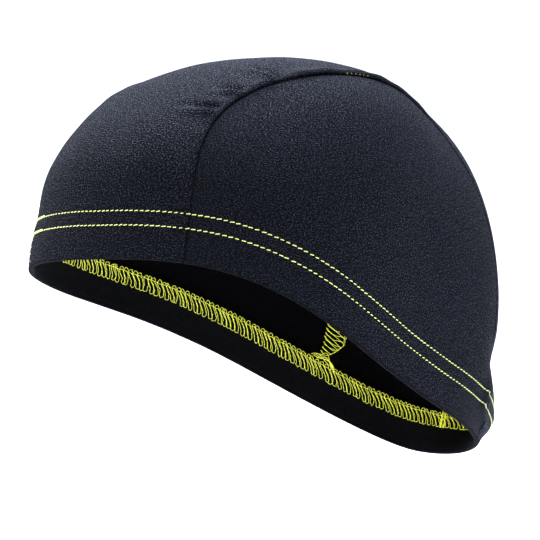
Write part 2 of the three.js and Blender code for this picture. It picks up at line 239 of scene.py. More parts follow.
def place_around(level, around):
    """A place on the disc from its level and direction."""
    return np.stack(((1 - level) * np.sin(around), -(1 - level) * np.cos(around)), axis=-1)


LEVEL_STEPS = np.linspace(0, 0.36, 145)


def level_at_arc(arc, around):
    """The level that an arc of cloth up from the hem reaches, for a row of directions."""
    around = np.asarray(around, float)
    points = cloth_point(LEVEL_STEPS[:, None], around.reshape(1, -1))
    runs = np.linalg.norm(np.diff(points, axis=0), axis=-1)
    arcs = np.concatenate((np.zeros((1, around.size)), np.cumsum(runs, axis=0)))
    wanted = np.broadcast_to(arc, around.size)
    reached = [np.interp(a, arcs[:, i], LEVEL_STEPS) for i, a in enumerate(wanted)]
    return np.array(reached).reshape(around.shape)


def place_at_arc(around, arc):
    """The places that an arc of cloth up from the hem reaches, for a row of directions."""
    return place_around(level_at_arc(arc, around), around)


SEAM_ALONG = np.linspace(0, 1, 1201)
SEAM_POINTS = {side: disc_point(seam_place(SEAM_ALONG, side)) for side in SIDES}
SEAM_RUN = {
    side: float(np.linalg.norm(np.diff(points, axis=0), axis=-1).sum())
    for side, points in SEAM_POINTS.items()
}


def from_seam(points, side):
    """How far points lie from a seam, and how far along it their nearest point is."""
    flat = points.reshape(-1, 3)
    nearest = np.empty(len(flat), int)
    distance = np.empty(len(flat))
    seam = SEAM_POINTS[side]
    for start in range(0, len(flat), 2000):
        part = flat[start:start + 2000]
        apart = np.linalg.norm(part[:, None] - seam[None], axis=-1)
        nearest[start:start + 2000] = apart.argmin(axis=1)
        distance[start:start + 2000] = apart.min(axis=1)
    shape = points.shape[:-1]
    return distance.reshape(shape), SEAM_ALONG[nearest].reshape(shape)


# Low relief of the cloth

def ridge_strength(along):
    places, rises = zip(*RIDGE_ALONG)
    return table_value(places, rises, along)


def ridge_rise(along, distance):
    offsets, rises = zip(*RIDGE_ACROSS)
    across = table_value(np.array(offsets) * RIDGE_WIDTH, rises, np.minimum(distance, RIDGE_WIDTH))
    uneven = 1 + 0.1 * np.sin(along * 61) + 0.08 * np.sin(along * 143 + 1)
    return RIDGE_HEIGHT * ridge_strength(along) * across * uneven


def pucker_rise(along, distance, side):
    """Each pucker is a furrow with a crest on its brow side. It starts clear of the ridge."""
    if side == RIGHT:
        return 0
    total = 0
    clear = 0.1 + 0.9 * smooth_step(distance, *PUCKER_START)
    for place, depth, length, lean in PUCKERS:
        offset = ((along - place) * SEAM_RUN[side] - lean * distance) / PUCKER_WIDTH
        shape = PUCKER_CREST * np.exp(-4 * (offset + 1) ** 2) - np.exp(-4 * offset**2)
        total = total + depth * np.maximum(0, 1 - distance / length) * clear * shape
    return total


# Slow waves in the cloth: direction, wavelength in mm and share
WAVES = (
    ((0.9, 0.2, 0.4), 31, 1.0), ((-0.3, 0.8, 0.5), 43, 1.0), ((0.5, -0.6, 0.6), 23, 0.6),
    ((0.1, 0.4, -0.9), 37, 0.8), ((0.7, 0.7, 0.1), 17, 0.35),
)


def drift(points):
    total = 0
    for direction, length, share in WAVES:
        total = total + share * np.sin(points @ unit(np.array(direction)) * FULL_TURN / length + length)
    return DRIFT * total / 2


# Creases in the limp cloth beside the nape: the two ends as degrees round from the brow and arc
# up from the hem, then how high the crease stands and its width
CREASES = (
    ((128, 21), (127, 11), 1.3, 3.2),
    ((127, 11), (139.8, 0.5), 1.0, 2.2),
    ((125, 25.5), (116.5, 31), 0.4, 1.8),
)
HEM_PER_DEGREE = math.radians(HEM_LENGTH / 2)     # mm of hem to a degree round

MIDDLE_ROW = sum(NEEDLE_ROWS) / 2
HEM_DIRECTIONS = np.linspace(0, FULL_TURN, 241)[:-1]
HEM_ARC_PER_LEVEL = MIDDLE_ROW / level_at_arc(MIDDLE_ROW, HEM_DIRECTIONS)


def direction_of(place):
    """The direction from the brow, by way of the left ear, in which a place lies."""
    return np.mod(np.arctan2(place[..., 0], -place[..., 1]), FULL_TURN)


def hem_arc(place):
    """How far up the cloth a place lies over the hem, near enough for the low relief."""
    level = 1 - np.hypot(place[..., 0], place[..., 1])
    arcs = np.interp(direction_of(place), HEM_DIRECTIONS, HEM_ARC_PER_LEVEL, period=FULL_TURN)
    return level * arcs


def crease_rise(place):
    across = np.degrees(direction_of(place)) * HEM_PER_DEGREE
    arc = hem_arc(place)
    total = 0
    for start, end, rise, width in CREASES:
        low = np.array(start) * (HEM_PER_DEGREE, 1)
        run = np.array(end) * (HEM_PER_DEGREE, 1) - low
        share = np.clip(((across - low[0]) * run[0] + (arc - low[1]) * run[1]) / (run @ run), 0, 1)
        off = np.hypot(across - low[0] - share * run[0], arc - low[1] - share * run[1])
        total = total + rise * np.exp(-((off / width) ** 2)) * np.sin(math.pi * (0.15 + 0.7 * share))
    return total


def stitch_channels(arc):
    return -STITCH_PRESS * sum(np.exp(-(((arc - row) / STITCH_PRESS_WIDTH) ** 2)) for row in NEEDLE_ROWS)


def relief(place, points):
    return drift(points) + stitch_channels(hem_arc(place)) + crease_rise(place)


# The cap as worn

def tipped(points):
    cos, sin = math.cos(HEM_PITCH), math.sin(HEM_PITCH)
    x, y, z = points[..., 0], points[..., 1], points[..., 2]
    return np.stack((x, y * cos + z * sin, z * cos - y * sin), axis=-1)


def inner_crown():
    """The highest point of the crown's inner face on the middle line."""
    place = np.stack((np.zeros(601), np.linspace(-0.5, 0.5, 601)), axis=-1)
    inner = tipped(disc_point(place) - disc_normal(place) * PLY_THICKNESS)
    return inner[inner[:, 2].argmax()] * (0, 1, 1)


INNER_CROWN = inner_crown()


def worn(points):
    """Points of the cap where the frame has them, in metres."""
    return (tipped(points) - INNER_CROWN) * MILLIMETRE


# Meshes

def smooth_mesh(name, points, faces, materials):
    mesh = bpy.data.meshes.new(name)
    mesh.from_pydata(points, [], faces)
    for material in materials:
        mesh.materials.append(material)
    mesh.polygons.foreach_set("use_smooth", np.ones(len(faces), bool))
    made = bpy.data.objects.new(name, mesh)
    bpy.context.scene.collection.objects.link(made)
    return made


def cap_piece(name, points, faces, materials):
    piece = smooth_mesh(name, points.tolist(), faces, materials)
    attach(piece, "root")
    return piece


def set_corners(mesh, name, values):
    """Gives each corner of each face its vertex's place in the knit or along the thread."""
    corners = np.empty(len(mesh.loops), int)
    mesh.loops.foreach_get("vertex_index", corners)
    layer = mesh.uv_layers.new(name=name)
    layer.uv.foreach_set("vector", values[corners].astype(np.float32).ravel())


def set_values(mesh, name, values):
    layer = mesh.attributes.new(name, "FLOAT", "POINT")
    layer.data.foreach_set("value", values.astype(np.float32).ravel())


def grid_faces(rows, columns, start, ring):
    i, j = np.meshgrid(np.arange(rows - 1), np.arange(columns if ring else columns - 1), indexing="ij")
    k = (j + 1) % columns
    quads = (i * columns + j, i * columns + k, (i + 1) * columns + k, (i + 1) * columns + j)
    return np.stack(quads, axis=-1).reshape(-1, 4) + start


def border_faces(rows, columns, ring):
    """The faces that join the borders of an outer grid and an inner grid after it."""
    size = rows * columns
    j = np.arange(columns if ring else columns - 1)
    k = (j + 1) % columns
    top = (rows - 1) * columns
    sides = [
        np.stack((size + j, size + k, k, j), axis=-1),
        np.stack((top + j, top + k, size + top + k, size + top + j), axis=-1),
    ]
    if not ring:
        i = np.arange(rows - 1) * columns
        edge = i + columns - 1
        sides.append(np.stack((i, i + columns, size + i + columns, size + i), axis=-1))
        sides.append(np.stack((size + edge, size + edge + columns, edge + columns, edge), axis=-1))
    return np.concatenate(sides)


def cloth_piece(name, outer, inner, knit, inward, materials, slot, ring=False):
    """A closed sheet between two grids of points. knit holds each point's place in the knit, and
    inward runs from 0 on the cloth's face to 1 where it looks into the cap."""
    rows, columns = outer.shape[:2]
    size = rows * columns
    points = worn(np.concatenate((outer.reshape(-1, 3), inner.reshape(-1, 3))))
    front = grid_faces(rows, columns, 0, ring)
    back = grid_faces(rows, columns, size, ring)[:, ::-1]
    faces = np.concatenate((front, back, border_faces(rows, columns, ring)))
    corners = points[faces]
    normals = np.cross(corners[:, 1] - corners[:, 0], corners[:, 2] - corners[:, 0])
    if np.einsum("ij,ij->", normals, corners[:, 0]) < 0:
        faces = faces[:, ::-1]
    piece = cap_piece(name, points, faces.tolist(), materials)
    set_corners(piece.data, "knit", np.tile(knit.reshape(-1, 2), (2, 1)) * MILLIMETRE)
    # inward sets how far each point takes the jersey's painted shade
    looks_in = np.concatenate((inward.ravel(), np.ones(size)))
    set_values(piece.data, "inward", looks_in)
    # Faces that look into the cap take the second material, a darker copy of the jersey: painted shade
    if len(materials) > 1:
        is_inside = looks_in[faces].mean(axis=1) > 0.98
        piece.data.polygons.foreach_set("material_index", is_inside.astype(np.int32))
    return piece


def arc_lengths(points, axis):
    steps = np.linalg.norm(np.diff(points, axis=axis), axis=-1)
    start = np.zeros_like(np.take(steps, [0], axis))
    return np.concatenate((start, np.cumsum(steps, axis)), axis)


THREAD_ASIDE = (0.3, 0.5, 0.81)   # a direction that no thread starts out in
THREAD_END = 0.55                 # how thick a thread's cut end is, as a share


def thread_normals(run):
    """Directions square to a path, carried along it without twist."""
    side = np.cross(run[0], THREAD_ASIDE)
    normals = []
    for direction in run:
        side = side - direction * (side @ direction)
        side = side / np.linalg.norm(side)
        normals.append(side)
    return np.array(normals)


def thread_piece(name, paths, radius, material, sides=6):
    """One mesh of round threads along paths of points, each with its own closed ends."""
    points, faces, thread = [], [], []
    count = 0
    turns = np.arange(sides) * FULL_TURN / sides
    cos, sin = np.cos(turns)[None, :, None], np.sin(turns)[None, :, None]
    for path in paths:
        path = worn(path)
        run = unit(np.gradient(path, axis=0))
        normals = thread_normals(run)
        binormals = np.cross(run, normals)
        taper = np.ones(len(path))
        taper[0] = taper[-1] = THREAD_END
        ring = cos * normals[:, None] + sin * binormals[:, None]
        rings = path[:, None] + ring * (radius * MILLIMETRE * taper)[:, None, None]
        lengths = arc_lengths(path, 0)
        points.append(rings.reshape(-1, 3))
        points.append(path[[0, -1]])
        thread.append(np.stack((
            np.tile(np.arange(sides) / sides, len(path)),
            np.repeat(lengths, sides),
        ), axis=-1))
        thread.append(np.array(((0.5, 0), (0.5, lengths[-1]))))
        quads = grid_faces(len(path), sides, count, True)
        faces.extend(quads.tolist())
        start = count + len(path) * sides
        for j in range(sides):
            k = (j + 1) % sides
            faces.append((start, count + k, count + j))
            faces.append((start + 1, start - sides + j, start - sides + k))
        count = start + 2
    piece = cap_piece(name, np.concatenate(points), faces, (material,))
    set_corners(piece.data, "thread", np.concatenate(thread))
    return piece


# Materials

def linear(hex_colour):
    """An sRGB hex colour as linear RGBA."""
    channels = (int(hex_colour[i:i + 2], 16) / 255 for i in (1, 3, 5))
    return (*(c / 12.92 if c <= 0.04045 else ((c + 0.055) / 1.055) ** 2.4 for c in channels), 1)


def add_node(tree, kind, inputs=None, **settings):
    """Adds a node with its settings. A socket given as an input is linked, and a value is set."""
    made = tree.nodes.new(kind)
    for name, value in settings.items():
        setattr(made, name, value)
    for name, value in (inputs or {}).items():
        if isinstance(value, bpy.types.NodeSocket):
            tree.links.new(value, made.inputs[name])
        else:
            made.inputs[name].default_value = value
    return made


def new_material(name):
    material = bpy.data.materials.new(name)
    material.use_nodes = True
    material.node_tree.nodes.clear()
    return material, material.node_tree


def band_scale(spacing):
    """The scale at which a wave texture's bands lie a spacing in millimetres apart."""
    return math.pi / 10 / (spacing * MILLIMETRE)


# A real wale of this jersey is 0.8 mm wide and a course 0.6 mm high. Both are drawn twice as
# coarse, because they are too fine to show
WALE_SPACING = 1.6
COURSE_SPACING = 1.2


def jersey_material(name, deep, middle, fleck, inner):
    """Melange single jersey of dyed polyester and elastane: matt and near black, with pale filaments
    in the yarn that glint as flecks where the light grazes the cloth."""
    material, tree = new_material(name)
    knit = add_node(tree, "ShaderNodeUVMap", uv_map="knit")
    # Yarn flecks, 1500 to a metre along the courses and 2100 across them: about 0.7 by 0.5 mm
    fibres_at = add_node(tree, "ShaderNodeMapping", {"Vector": knit.outputs["UV"], "Scale": (1500, 2100, 1)})
    fibres = add_node(
        tree, "ShaderNodeTexNoise",
        {"Vector": fibres_at.outputs["Vector"], "Scale": 1, "Detail": 1.5, "Roughness": 0.6},
    )
    # Dye takes a little unevenly over some 25 mm
    dye = add_node(tree, "ShaderNodeTexNoise", {"Vector": knit.outputs["UV"], "Scale": 40, "Detail": 2})
    dark = add_node(
        tree, "ShaderNodeMix",
        {"Factor": dye.outputs["Fac"], "A": linear(deep), "B": linear(middle)}, data_type="RGBA",
    )
    pale = add_node(
        tree, "ShaderNodeMapRange",
        {"Value": fibres.outputs["Fac"], "From Min": 0.54, "From Max": 0.66, "To Min": 0, "To Max": 1},
    )
    face = add_node(
        tree, "ShaderNodeMix",
        {"Factor": pale.outputs["Result"], "A": dark.outputs[2], "B": linear(fleck)}, data_type="RGBA",
    )
    # Where the cloth turns in or looks into the cap its colour goes over to inner: painted shade, darker than
    # the cloth's own colour
    inward = add_node(tree, "ShaderNodeAttribute", attribute_name="inward")
    colour = add_node(
        tree, "ShaderNodeMix",
        {"Factor": inward.outputs["Fac"], "A": face.outputs[2], "B": linear(inner)}, data_type="RGBA",
    )
    # Pale fibres on the face are smooth filament and glint. All else is brushed and matt
    filament = add_node(
        tree, "ShaderNodeMath", {0: pale.outputs["Result"], 1: inward.outputs["Fac"]},
        operation="SUBTRACT", use_clamp=True,
    )
    roughness = add_node(
        tree, "ShaderNodeMapRange", {"Value": filament.outputs[0], "To Min": 1, "To Max": 0.3},
    )
    # Knitted loops: wales crossed by courses, broken up by the fibres
    wales, courses = (
        add_node(
            tree, "ShaderNodeTexWave",
            {"Vector": knit.outputs["UV"], "Scale": band_scale(spacing), "Distortion": 3, "Detail": 2},
            bands_direction=direction,
        )
        for direction, spacing in (("X", WALE_SPACING), ("Y", COURSE_SPACING))
    )
    loops = add_node(
        tree, "ShaderNodeMath", {0: wales.outputs["Fac"], 1: courses.outputs["Fac"]}, operation="MULTIPLY",
    )
    height = add_node(
        tree, "ShaderNodeMath",
        {0: loops.outputs[0], 1: 0.25, 2: fibres.outputs["Fac"]}, operation="MULTIPLY_ADD",
    )
    bump = add_node(
        tree, "ShaderNodeBump", {"Height": height.outputs[0], "Strength": 1, "Distance": 0.0007},
    )
    shader = add_node(
        tree, "ShaderNodeBsdfPrincipled",
        {
            "Base Color": colour.outputs[2], "Normal": bump.outputs["Normal"], "IOR": 1.5,
            "Roughness": roughness.outputs["Result"], "Specular IOR Level": 0.05,
        },
    )
    add_node(tree, "ShaderNodeOutputMaterial", {"Surface": shader.outputs["BSDF"]})
    return material


def thread_material(name, shade, light, painted_glow):
    """Trilobal polyester sewing thread: bright dyed filament with a silky glint, three plies
    twisted together so that the glint breaks up along it. Its fluorescent lime colour also
    gives off a faint light of its own: painted light that brightens it where it lies in shade."""
    material, tree = new_material(name)
    thread = add_node(tree, "ShaderNodeUVMap", uv_map="thread")
    # The twist of the plies, as slanting bands 1.6 mm apart along the thread. Real ones lie some
    # 0.4 mm apart, too fine to show
    twist_at = add_node(
        tree, "ShaderNodeMapping", {"Vector": thread.outputs["UV"], "Scale": (1, 1 / 0.0012, 1)},
    )
    twist = add_node(
        tree, "ShaderNodeTexWave",
        {"Vector": twist_at.outputs["Vector"], "Scale": math.pi / 20 * 3, "Distortion": 0.4},
        bands_direction="DIAGONAL",
    )
    # The twist bands go from the thread's colour to a pale one: a painted highlight on each ply
    colour = add_node(
        tree, "ShaderNodeMix",
        {"Factor": twist.outputs["Fac"], "A": linear(shade), "B": linear(light)}, data_type="RGBA",
    )
    bump = add_node(
        tree, "ShaderNodeBump", {"Height": twist.outputs["Fac"], "Strength": 0.5, "Distance": 0.0001},
    )
    # The emission is painted light, a faint light of the thread's own colour
    shader = add_node(
        tree, "ShaderNodeBsdfPrincipled",
        {
            "Base Color": colour.outputs[2], "Normal": bump.outputs["Normal"], "Roughness": 0.38,
            "IOR": 1.55, "Sheen Weight": 0.3, "Sheen Roughness": 0.3,
            "Emission Color": colour.outputs[2], "Emission Strength": painted_glow,
        },
    )
    add_node(tree, "ShaderNodeOutputMaterial", {"Surface": shader.outputs["BSDF"]})
    return material


# Each jersey's last colour is painted shade, taken where the cloth turns in or looks into the cap
jersey_face = jersey_material("melange_jersey_face", "#08090b", "#0c0d11", "#383d49", "#070709")
# Darker copies of the jersey for the faces inside the cap and for the hem facing: painted shade, as little
# light gets into the cap, not the cloth's own colour
jersey_painted_shade = jersey_material("melange_jersey_painted_shade", "#040405", "#060607", "#0c0c0e", "#060607")
facing_painted_shade = jersey_material("melange_jersey_facing_painted_shade", "#0a0a0b", "#0d0d0e", "#1c1c1f", "#0d0d0e")
# Each thread's second colour is a painted highlight on the twist bands, and its last number sets its painted
# light
needle_thread = thread_material("polyester_needle_thread", "#d2e244", "#fbfdb8", 0.32)
looper_thread = thread_material("polyester_looper_thread", "#c6cc1c", "#f6f85c", 0.45)


# Center panel: its seam edges roll under, and its ends turn round the hem fold

ROLL_ANGLES = np.radians((105, 80, 55, 35, 17, 0))
ROLL_UNDER = np.linspace(0.6, 0, len(ROLL_ANGLES))   # how far its inner face runs under the roll
BESIDE_SEAM = np.array((1.4, 2, 2.8, 3.8, 5, 6.3, 7.7, 9.2, 10.8, 12.5))
CENTER_ROWS = 262
CENTER_MIDDLE = 52
FOLD_ANGLES = np.radians(np.arange(12, 181, 12))
FOLD_RADIUS = (PLY_THICKNESS + LAYER_GAP + FACING_THICKNESS) / 2


def center_place(along, across):
    reach_brow = np.sqrt(1 - (across * math.sin(SEAM_BROW)) ** 2)
    reach_nape = np.sqrt(1 - (across * math.sin(SEAM_NAPE)) ** 2)
    back = -reach_brow + (reach_brow + reach_nape) * along
    return np.stack(np.broadcast_arrays(across * seam_place(along, LEFT)[..., 0], back), axis=-1)


def cloth_span(along, side):
    edge = disc_point(center_place(along, np.full_like(along, side)))
    inside = disc_point(center_place(along, np.full_like(along, side * (1 - FINE_STEP))))
    return np.linalg.norm(edge - inside, axis=-1) / FINE_STEP


def center_surface(along, side, distance):
    """Points of the center panel's face and their normals, a distance in from one seam."""
    place = center_place(along, side * (1 - distance / cloth_span(along, side)))
    normal = disc_normal(place)
    point = disc_point(place)
    rise = ridge_rise(along, distance) + pucker_rise(along, distance, side) + relief(place, point)
    return point + normal * rise[..., None], normal


def fold_round(outer, inner, down):
    """Rows that carry an edge of cloth round the hem fold, from its last outer and inner row."""
    normal = unit(outer - inner)
    centre = outer - normal * FOLD_RADIUS
    angle = FOLD_ANGLES[:, None, None]
    direction = np.cos(angle) * normal + np.sin(angle) * down * 0.8
    return centre + FOLD_RADIUS * direction, centre + (FOLD_RADIUS - PLY_THICKNESS) * direction


def with_fold(outer, inner, knit, inward, at_start):
    """Adds the hem fold before the first row of a sheet, or after its last one."""
    edge, second, step = (0, 1, -1) if at_start else (-1, -2, 1)
    down = unit(outer[edge] - outer[second])
    fold_outer, fold_inner = fold_round(outer[edge], inner[edge], down)
    run = FOLD_ANGLES[:, None] * FOLD_RADIUS
    fold_knit = np.stack(np.broadcast_arrays(knit[edge, :, 0], knit[edge, :, 1] + step * run), axis=-1)
    # The fold goes over to the darker inner colour as it turns: painted shade on its underside
    turned = smooth_step(FOLD_ANGLES, 0, math.radians(45))
    fold_inward = np.broadcast_to(turned[:, None], fold_outer.shape[:2])
    sheet, fold = (outer, inner, knit, inward), (fold_outer, fold_inner, fold_knit, fold_inward)
    if at_start:
        return [np.concatenate((turn[::-1], flat)) for flat, turn in zip(sheet, fold)]
    return [np.concatenate((flat, turn)) for flat, turn in zip(sheet, fold)]


def seam_pinch(along):
    places, shares = zip(*SEAM_PINCH)
    return np.interp(along, places, shares)


def center_edge(along, side):
    """Outer and inner columns of the center panel beside one seam, from the seam inwards."""
    roll = SEAM_ROLL * (0.1 + 0.45 * seam_pinch(along) + 0.45 * ridge_strength(along))
    point, normal = center_surface(along, side, roll)
    away = away_from_seam(along, side)
    away = unit(away - normal * (away * normal).sum(axis=-1, keepdims=True))
    roll = roll[:, None]
    centre = point - normal * roll
    outer, inner = [], []
    for angle, under in zip(ROLL_ANGLES, ROLL_UNDER):
        outer.append(centre + roll * (math.sin(angle) * away + math.cos(angle) * normal))
        inner.append(point - normal * PLY_THICKNESS + away * roll * under)
    for distance in BESIDE_SEAM:
        point, normal = center_surface(along, side, np.full_like(along, distance))
        outer.append(point)
        inner.append(point - normal * PLY_THICKNESS)
    return outer, inner


def center_panel_cloth():
    along = np.linspace(0, 1, CENTER_ROWS)
    right_outer, right_inner = center_edge(along, RIGHT)
    left_outer, left_inner = center_edge(along, LEFT)
    start = BESIDE_SEAM[-1] / cloth_span(along, RIGHT) - 1
    end = 1 - BESIDE_SEAM[-1] / cloth_span(along, LEFT)
    middle_outer, middle_inner = [], []
    for f in np.linspace(0, 1, CENTER_MIDDLE)[1:-1]:
        across = start + (end - start) * f
        from_right = (1 + across) * cloth_span(along, RIGHT)
        from_left = (1 - across) * cloth_span(along, LEFT)
        place = center_place(along, across)
        normal = disc_normal(place)
        point = disc_point(place)
        rise = relief(place, point)
        for side, distance in ((RIGHT, from_right), (LEFT, from_left)):
            rise = rise + ridge_rise(along, distance) + pucker_rise(along, distance, side)
        point = point + normal * rise[:, None]
        middle_outer.append(point)
        middle_inner.append(point - normal * PLY_THICKNESS)
    outer = np.stack(right_outer + middle_outer + left_outer[::-1], axis=1)
    inner = np.stack(right_inner + middle_inner + left_inner[::-1], axis=1)
    middle = outer.shape[1] // 2
    across_run = arc_lengths(outer, 1)
    across_run = across_run - across_run[:, middle:middle + 1]
    along_run = np.broadcast_to(arc_lengths(outer[:, middle], 0)[:, None], across_run.shape)
    knit = np.stack((across_run, along_run), axis=-1)
    inward = np.zeros(outer.shape[:2])
    sheet = with_fold(outer, inner, knit, inward, True)
    sheet = with_fold(*sheet, False)
    piece = cloth_piece("center_panel_cloth", *sheet, (jersey_face, jersey_painted_shade), "jersey")
    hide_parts("center_panel")
    return piece


# Side panels: a patch between the hem and the seam, whose edge dives under the roll

SIDE_COLUMNS = 124
SIDE_ROWS = 78
EDGE_DEPTH = 1.15                 # how deep its edge lies where it runs under a flat center panel
BUTTED_DEPTH = 0.55               # and where the two edges only meet
BUTTED_GAP = 0.1
EDGE_SLOPE = 0.7                  # over which the edge comes up to the face
DEEPEST_HEM = 1.35                # the inner face beside the seam, over the hem facing


def side_place(across, up, side):
    around = SEAM_BROW + (SEAM_NAPE - SEAM_BROW) * across
    hem = place_around(np.zeros_like(around), side * around)
    low, high = SIDE_CORNERS
    top = seam_place(low + (high - low) * across, side)
    brow = seam_place(low * up, side)
    nape = seam_place(1 - (1 - high) * up, side)
    a, u = across[..., None], up[..., None]
    flat = (seam_place(0, side) * (1 - a) + seam_place(1, side) * a) * (1 - u)
    flat = flat + (seam_place(low, side) * (1 - a) + seam_place(high, side) * a) * u
    return hem * (1 - u) + top * u + brow * (1 - a) + nape * a - flat


def crowded(count, share):
    """Even steps from 0 to 1, drawn towards both ends."""
    f = np.linspace(0, 1, count)
    return f - share / FULL_TURN * np.sin(FULL_TURN * f)


def side_panel_cloth(side):
    across, up = np.meshgrid(crowded(SIDE_COLUMNS, 0.6), 1 - (1 - np.linspace(0, 1, SIDE_ROWS)) ** 1.25)
    place = side_place(across, up, side)
    point = disc_point(place)
    normal = disc_normal(place)
    distance, along = from_seam(point, side)
    over_facing = 1 - smooth_step(hem_arc(place), FACING_HEIGHT + 2, FACING_HEIGHT + 9)
    butted = np.maximum(over_facing, 1 - seam_pinch(along))
    strength = ridge_strength(along)
    tucked_depth = np.maximum(EDGE_DEPTH - 1.3 * strength, 0.2)
    depth = tucked_depth * (1 - butted) + BUTTED_DEPTH * butted * seam_pinch(along)
    depth = depth * np.exp(-((distance / EDGE_SLOPE) ** 2))
    is_edge = (across <= 0) | (across >= 1) | (up >= 1)
    tucked = 0.5 + (SEAM_TUCK - 0.5) * strength
    tuck = np.where(is_edge, tucked * (1 - butted) - BUTTED_GAP * butted, 0)
    rise = relief(place, point) - depth
    outer = point + normal * rise[..., None] - away_from_seam(along, side) * tuck[..., None]
    thickness = np.where(over_facing > 0, np.minimum(PLY_THICKNESS, DEEPEST_HEM - depth), PLY_THICKNESS)
    inner = outer - normal * thickness[..., None]
    up_run = np.broadcast_to(arc_lengths(outer[:, SIDE_COLUMNS // 2], 0)[:, None], across.shape)
    across_run = np.broadcast_to(arc_lengths(outer[SIDE_ROWS // 4], 0)[None], across.shape)
    knit = np.stack((across_run, up_run), axis=-1)
    sheet = with_fold(outer, inner, knit, np.zeros_like(across), True)
    piece = cloth_piece(f"{SIDES[side]}_side_panel_cloth", *sheet, (jersey_face, jersey_painted_shade), "jersey")
    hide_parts(f"{SIDES[side]}_side_panel")
    return piece


# Hem facing: the turned cloth inside, with the panel seams pressed into it

FACING_COLUMNS = 540
FACING_DRIFT = 0.12               # how unevenly it lies against the panels
FACING_DENT = 0.5                 # depth and width of the dent over a panel seam
FACING_DENT_WIDTH = 0.7
FACING_ARCS = np.concatenate(((0.2,), np.arange(1.5, FACING_HEIGHT, 1.1), (FACING_HEIGHT,)))


def hem_facing_cloth():
    around = np.linspace(0, FULL_TURN, FACING_COLUMNS + 1)[:-1]
    outer, inner, knit = [], [], []
    hem_run = arc_lengths(disc_point(place_at_arc(around, FACING_ARCS[0])), 0)
    dent = np.zeros_like(around)
    for seam in (SEAM_BROW, SEAM_NAPE, FULL_TURN - SEAM_NAPE, FULL_TURN - SEAM_BROW):
        off = (around - seam) * HEM_WIDTH / 2
        dent = dent + FACING_DENT * np.exp(-((off / FACING_DENT_WIDTH) ** 2))
    for arc in FACING_ARCS:
        place = place_at_arc(around, arc)
        point, normal = disc_point(place), disc_normal(place)
        depth = PLY_THICKNESS + LAYER_GAP + FACING_DRIFT * (1 + drift(point) / DRIFT)
        outer.append(point - normal * depth[:, None])
        inner.append(point - normal * (depth + FACING_THICKNESS - dent)[:, None])
        knit.append(np.stack((hem_run, np.full_like(hem_run, -arc)), axis=-1))
    outer, inner, knit = (np.stack(rows) for rows in (outer, inner, knit))
    inward = np.ones(outer.shape[:2])
    # The whole facing takes the darker copy of the jersey: painted shade
    piece = cloth_piece(
        "hem_facing_cloth", outer, inner, knit, inward, (facing_painted_shade,), "jersey_inside", ring=True,
    )
    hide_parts("hem_facing")
    return piece


# Seam allowances: overlocked cut edges laid flat under the seam, more of them under the side panel

def seam_ends(side):
    """Where a seam comes clear of the hem facing, at the brow and at the nape."""
    place = seam_place(SEAM_ALONG, side)
    clear = hem_arc(place) > FACING_HEIGHT + ALLOWANCE_END_CLEARANCE
    inside = SEAM_ALONG[clear]
    return inside[0], inside[-1]


def strip_point(along, side, distance, depth):
    """A point under the seam, a distance square to it, towards the center panel."""
    place = seam_place(along, side)
    normal = disc_normal(place)
    point = disc_point(place)
    on_center = ALLOWANCE_RISE * ridge_rise(along, np.maximum(distance, 0)) + pucker_rise(along, 0, side)
    on_side = -SEAM_DIP * smooth_step(point[:, 2], *SEAM_DIP_HEIGHTS)
    rise = on_side + (on_center - on_side) * smooth_step(distance, 0, RIDGE_CREST)
    return point - away_from_seam(along, side) * distance[:, None] + normal * (rise - depth)[:, None]


def seam_allowance(side):
    start, end = seam_ends(side)
    along = np.linspace(start, end, 200)
    top = PLY_THICKNESS + LAYER_GAP
    outer, inner = [], []
    for f in np.linspace(0, 1, 11):
        distance = np.full_like(along, ALLOWANCE_WIDTH * f - ALLOWANCE_LEAN)
        edge = abs(2 * f - 1) ** 6
        ruffle = 0.08 * np.sin(along * SEAM_RUN[side] * 1.3 + distance)
        outer.append(strip_point(along, side, distance, top + 0.15 * edge))
        inner.append(strip_point(along, side, distance, top + ALLOWANCE_THICKNESS - 0.35 * edge - ruffle))
    outer, inner = np.stack(outer, axis=1), np.stack(inner, axis=1)
    run = np.broadcast_to((along * SEAM_RUN[side])[:, None], outer.shape[:2])
    width = np.broadcast_to(np.linspace(0, ALLOWANCE_WIDTH, outer.shape[1]), outer.shape[:2])
    knit = np.stack((width, run), axis=-1)
    name = f"{SIDES[side]}_seam_allowance_cloth"
    # The allowance takes the darker copy of the jersey: painted shade
    piece = cloth_piece(name, outer, inner, knit, np.ones(outer.shape[:2]), (jersey_painted_shade,), "overlocked_edge")
    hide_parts(f"{SIDES[side]}_seam_allowance")
    return piece


# Stitches

rng = np.random.default_rng(26)
ROW_DIRECTIONS = np.linspace(0, FULL_TURN, 1441)


def row_run(arc):
    """Lengths along the hem at an arc, for ROW_DIRECTIONS."""
    return arc_lengths(disc_point(place_at_arc(ROW_DIRECTIONS, arc)), 0)


def on_face(around, arc, rise):
    """Points a rise over the outer face, at directions round the hem and arcs up it."""
    place = place_at_arc(around, arc)
    point = disc_point(place)
    return point + disc_normal(place) * (relief(place, point) + rise)[:, None]


def on_facing(around, arc, rise):
    """Points a rise over the hem facing's inner face."""
    place = place_at_arc(around, arc)
    depth = PLY_THICKNESS + LAYER_GAP + FACING_THICKNESS + 0.15
    return disc_point(place) - disc_normal(place) * (depth + rise)[:, None]


STITCH_SHAPE = np.array((0, 0.08, 0.25, 0.5, 0.75, 0.92, 1))
STITCH_RISE = np.array((-0.7, -0.08, 0.16, 0.24, 0.16, -0.08, -0.7))
TACK_STITCHES = 6                 # at a row's end they lie doubled over its start
TACK_AROUND = FULL_TURN - SEAM_BROW + 0.01
TACK_SHIFT = 0.45                 # how many pitches on, and how much higher both ways, they lie
TACK_RISE = 0.3


